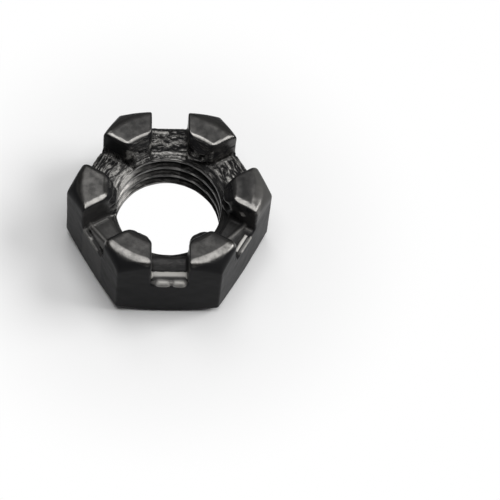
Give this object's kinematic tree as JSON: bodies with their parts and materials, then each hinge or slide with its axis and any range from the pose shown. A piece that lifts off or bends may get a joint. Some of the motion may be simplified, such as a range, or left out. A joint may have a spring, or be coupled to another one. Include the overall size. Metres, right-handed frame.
{
  "type": "slotted nut",
  "caption": "Hexagonal slotted nut in black-oxide steel, with a coarse internal thread and slots in the flats that take a split pin across the screw.",
  "frame": {"origin": "centre of the bearing face, on the thread's axis", "axes": "+Z along the thread's axis from the bearing face to the slots; +X through a corner of the hexagon; +Y through the middle of a flat and its slot"},
  "size_m": [0.0328, 0.0294, 0.0158],
  "materials": {
    "black_steel": "black oxide, satin"
  },
  "bodies": {
    "root": {"slotted_nut": "black_steel"}
  },
  "joints": []
}
